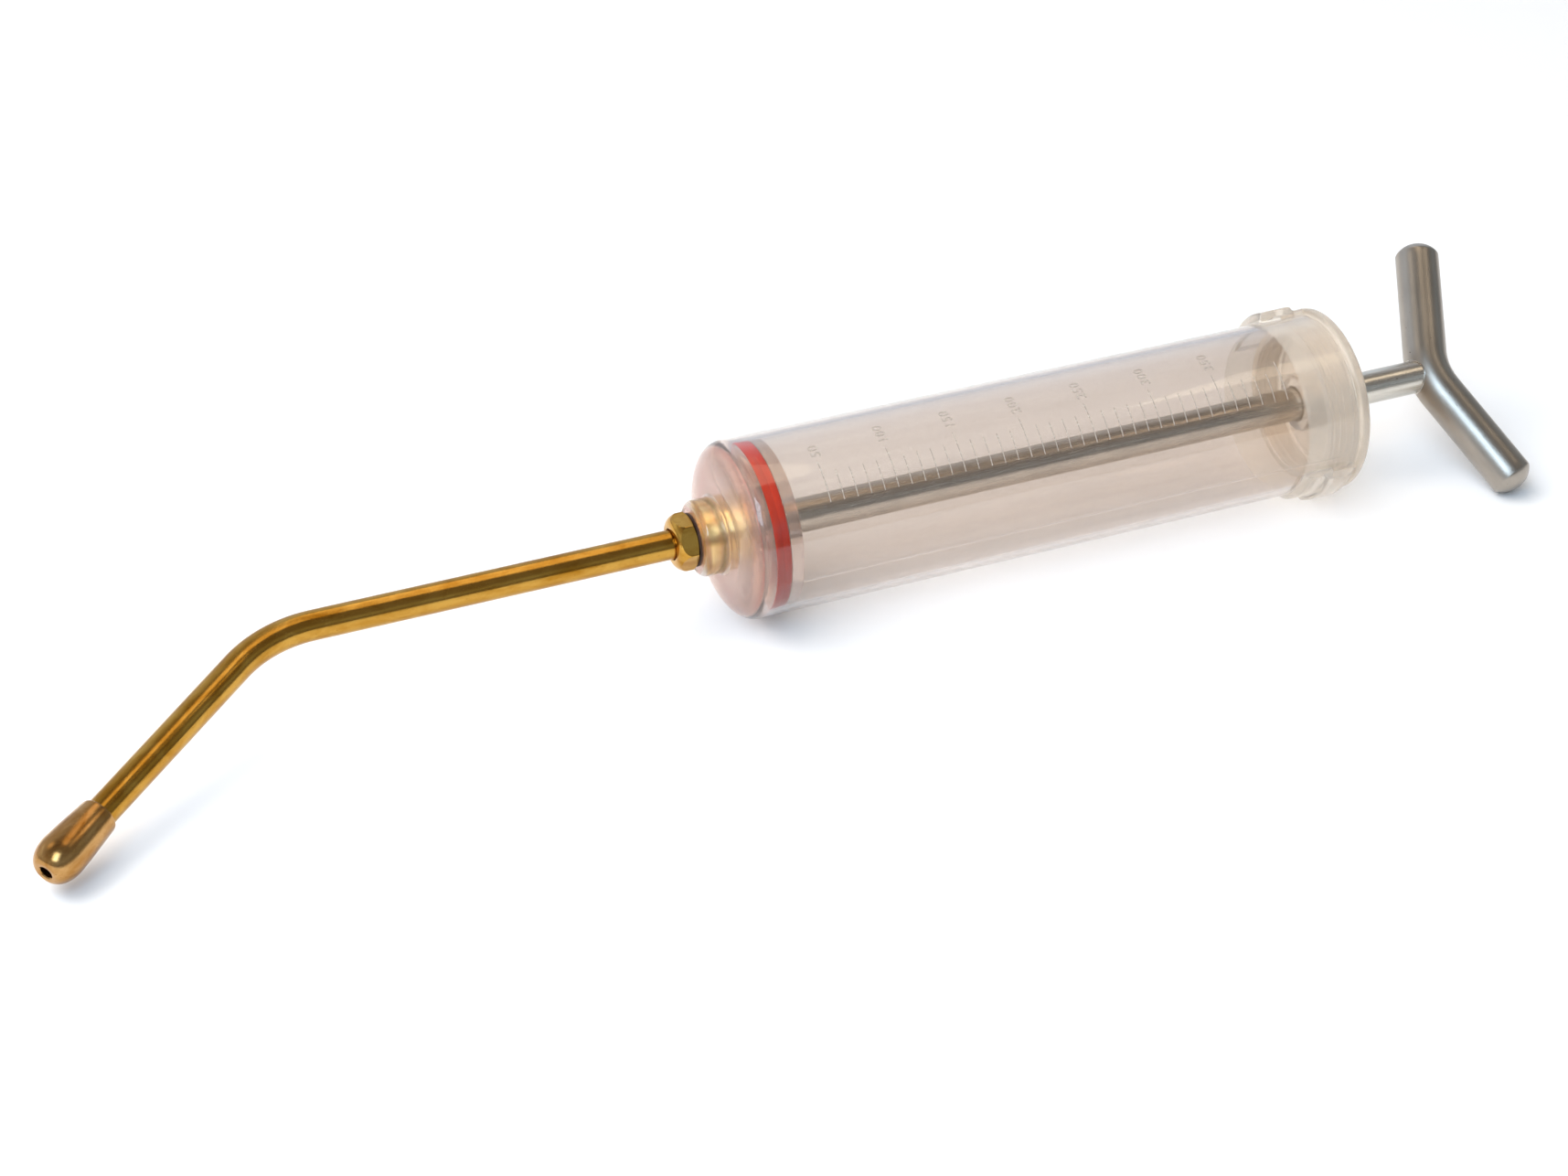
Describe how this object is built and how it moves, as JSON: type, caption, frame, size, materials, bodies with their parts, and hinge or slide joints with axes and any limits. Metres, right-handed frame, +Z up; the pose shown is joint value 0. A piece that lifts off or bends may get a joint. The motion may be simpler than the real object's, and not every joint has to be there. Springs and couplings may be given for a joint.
{
  "type": "dosing syringe",
  "caption": "Hand dosing syringe: bent brass nozzle with a blunt bulb tip, clear graduated barrel, red seal ring, bayonet cap, and a steel rod with a V-shaped T handle.",
  "frame": {"origin": "centre of the bounding box in X and Y, on the table the syringe lies on", "axes": "+X along the barrel axis from the nozzle to the handle, +Z up; the barrel axis is level, and the nozzle bends towards -Y and down"},
  "size_m": [0.5066, 0.1036, 0.0621],
  "materials": {
    "clear_plastic": "clear, polished, faint pinkish grey tint",
    "cap_plastic": "clear, slightly yellowed",
    "brass": "polished",
    "steel": "satin",
    "seal_red": "smooth, semi-matt",
    "dark_rubber": "matt",
    "fibre": "matt"
  },
  "bodies": {
    "barrel_body": {"barrel": "clear_plastic", "spigot": "brass", "spigot_gasket": "fibre", "dust_washer": "dark_rubber"},
    "nozzle": {"nozzle_tube": "brass", "nozzle_tip": "brass", "tube_collar": "brass", "nozzle_seal": "dark_rubber"},
    "nut": {"gland_nut": "brass"},
    "cap_body": {"cap": "cap_plastic"},
    "seal": {"seal_ring": "seal_red"},
    "plunger": {"front_disc": "clear_plastic", "rear_disc": "clear_plastic", "piston_washer": "steel", "piston_nut": "steel", "plunger_rod": "steel", "handle": "steel"}
  },
  "joints": [
    {"name": "plunger_slide", "type": "slide", "parent": "barrel_body", "child": "seal", "axis": [1, 0, 0], "range_m": [0, 0.1825]},
    {"name": "plunger_spin", "type": "hinge", "parent": "seal", "child": "plunger", "pos_m": [-0.01837, 0.01219, 0.03105], "axis": [1, 0, 0], "continuous": true},
    {"name": "cap_turn", "type": "hinge", "parent": "barrel_body", "child": "cap_body", "pos_m": [0.18663, 0.01219, 0.03105], "axis": [1, 0, 0], "range_deg": [-20, 0]},
    {"name": "nozzle_swivel", "type": "hinge", "parent": "barrel_body", "child": "nozzle", "pos_m": [-0.03837, 0.01219, 0.03105], "axis": [1, 0, 0], "continuous": true},
    {"name": "nut_turn", "type": "hinge", "parent": "barrel_body", "child": "nut", "pos_m": [-0.03637, 0.01219, 0.03105], "axis": [1, 0, 0], "continuous": true}
  ]
}
